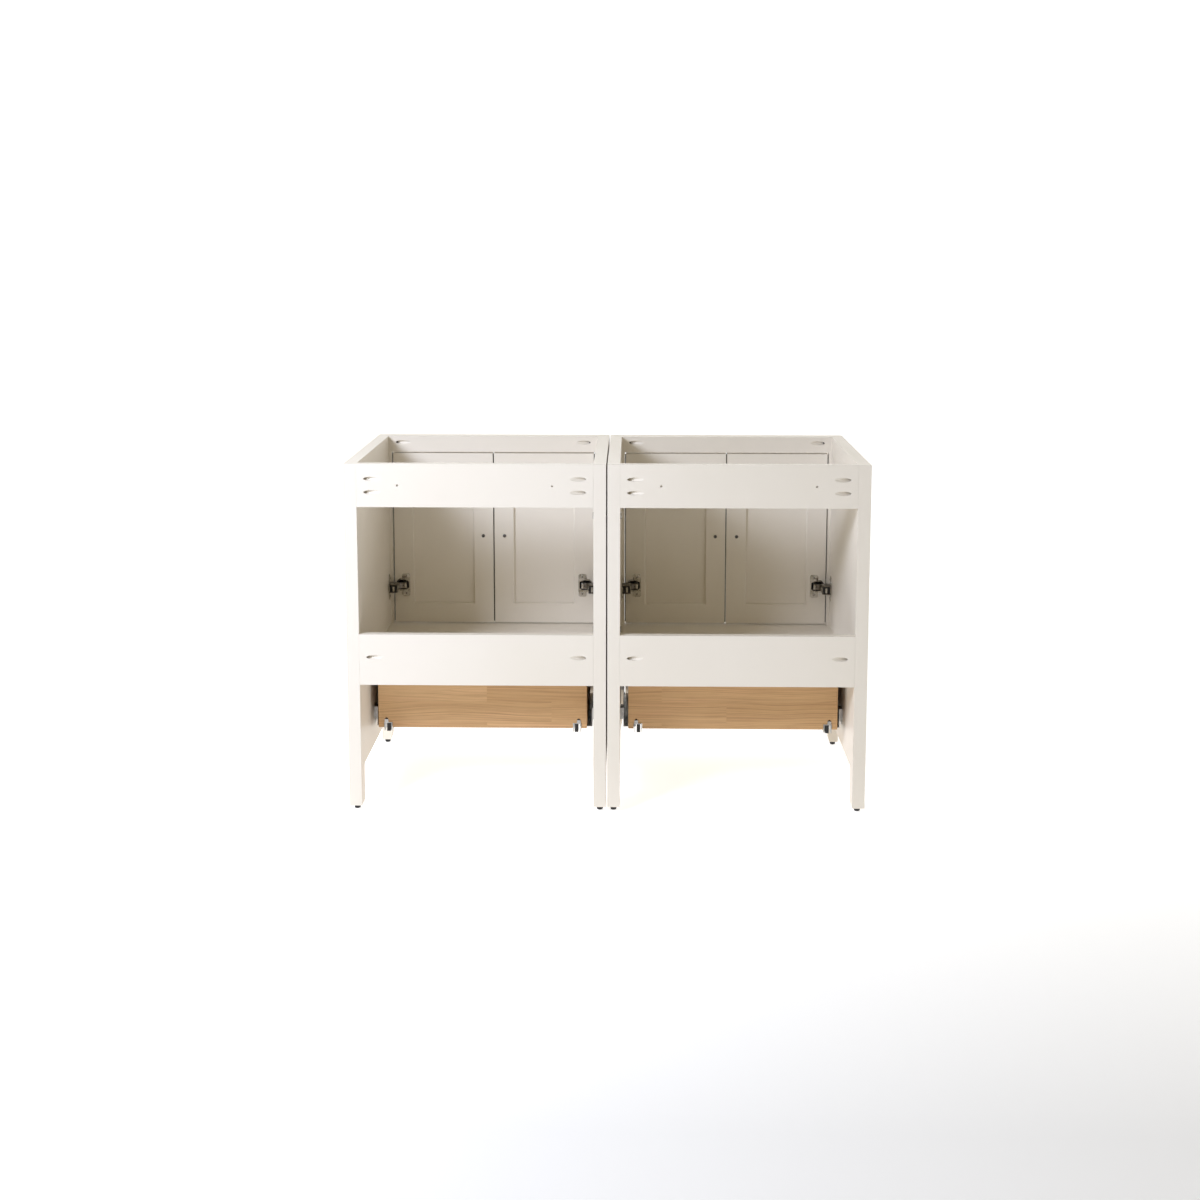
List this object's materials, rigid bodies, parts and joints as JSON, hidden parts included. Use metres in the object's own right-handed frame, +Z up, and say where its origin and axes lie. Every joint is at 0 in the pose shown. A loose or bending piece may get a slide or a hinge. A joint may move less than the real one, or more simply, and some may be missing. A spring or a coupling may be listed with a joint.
{
  "type": "bathroom vanity cabinet",
  "caption": "Freestanding vanity base of paired open-backed cabinets, each with inset doors over a drawer, on legs with glides, open on top for basins.",
  "frame": {"origin": "on the floor at the middle of the whole base, seen from above", "axes": "+X to the right seen from the front, +Y towards the wall, +Z up"},
  "size_m": [1.2, 0.535, 0.82],
  "materials": {
    "painted_wood": "satin antique-white paint over solid wood and board",
    "drawer_wood": "clear-lacquered finger-jointed softwood",
    "zinc_steel": "bright zinc-plated sheet steel",
    "black_plastic": "matt black",
    "nickel": "satin nickel plate"
  },
  "bodies": {
    "carcass": {"joining_bolts": "zinc_steel", "left_side_left": "painted_wood", "left_post_left": "painted_wood", "left_side_right": "painted_wood", "left_post_right": "painted_wood", "left_front_top_rail": "painted_wood", "left_mid_rail": "painted_wood", "left_rear_top_rail": "painted_wood", "left_rear_low_rail": "painted_wood", "left_floor": "painted_wood", "left_glides": "black_plastic", "left_hinge_arms": "nickel", "left_slide_rails": "zinc_steel", "right_side_left": "painted_wood", "right_post_left": "painted_wood", "right_side_right": "painted_wood", "right_post_right": "painted_wood", "right_front_top_rail": "painted_wood", "right_mid_rail": "painted_wood", "right_rear_top_rail": "painted_wood", "right_rear_low_rail": "painted_wood", "right_floor": "painted_wood", "right_glides": "black_plastic", "right_hinge_arms": "nickel", "right_slide_rails": "zinc_steel"},
    "left_door_left": {"left_door_left_frame": "painted_wood", "left_door_left_field": "painted_wood", "left_door_left_cups": "nickel", "left_door_left_knob": "nickel"},
    "left_door_right": {"left_door_right_frame": "painted_wood", "left_door_right_field": "painted_wood", "left_door_right_cups": "nickel", "left_door_right_knob": "nickel"},
    "left_drawer": {"left_drawer_front": "painted_wood", "left_drawer_knobs": "nickel", "left_drawer_side_left": "drawer_wood", "left_drawer_side_right": "drawer_wood", "left_drawer_subfront": "drawer_wood", "left_drawer_back": "drawer_wood", "left_drawer_bottom": "drawer_wood", "left_slide_runners": "zinc_steel", "left_slide_clips": "black_plastic"},
    "right_door_left": {"right_door_left_frame": "painted_wood", "right_door_left_field": "painted_wood", "right_door_left_cups": "nickel", "right_door_left_knob": "nickel"},
    "right_door_right": {"right_door_right_frame": "painted_wood", "right_door_right_field": "painted_wood", "right_door_right_cups": "nickel", "right_door_right_knob": "nickel"},
    "right_drawer": {"right_drawer_front": "painted_wood", "right_drawer_knobs": "nickel", "right_drawer_side_left": "drawer_wood", "right_drawer_side_right": "drawer_wood", "right_drawer_subfront": "drawer_wood", "right_drawer_back": "drawer_wood", "right_drawer_bottom": "drawer_wood", "right_slide_runners": "zinc_steel", "right_slide_clips": "black_plastic"}
  },
  "joints": [
    {"name": "left_door_left_hinge", "type": "hinge", "parent": "carcass", "child": "left_door_left", "pos_m": [-0.56, -0.2435, 0.5535], "axis": [0, 0, -1], "range_deg": [0, 90]},
    {"name": "left_door_right_hinge", "type": "hinge", "parent": "carcass", "child": "left_door_right", "pos_m": [-0.0415, -0.2435, 0.5535], "axis": [0, 0, 1], "range_deg": [0, 90]},
    {"name": "left_drawer_slide", "type": "slide", "parent": "carcass", "child": "left_drawer", "axis": [0, -1, 0], "range_m": [0, 0.26]},
    {"name": "right_door_left_hinge", "type": "hinge", "parent": "carcass", "child": "right_door_left", "pos_m": [0.0415, -0.2435, 0.5535], "axis": [0, 0, -1], "range_deg": [0, 90]},
    {"name": "right_door_right_hinge", "type": "hinge", "parent": "carcass", "child": "right_door_right", "pos_m": [0.56, -0.2435, 0.5535], "axis": [0, 0, 1], "range_deg": [0, 90]},
    {"name": "right_drawer_slide", "type": "slide", "parent": "carcass", "child": "right_drawer", "axis": [0, -1, 0], "range_m": [0, 0.26]}
  ]
}
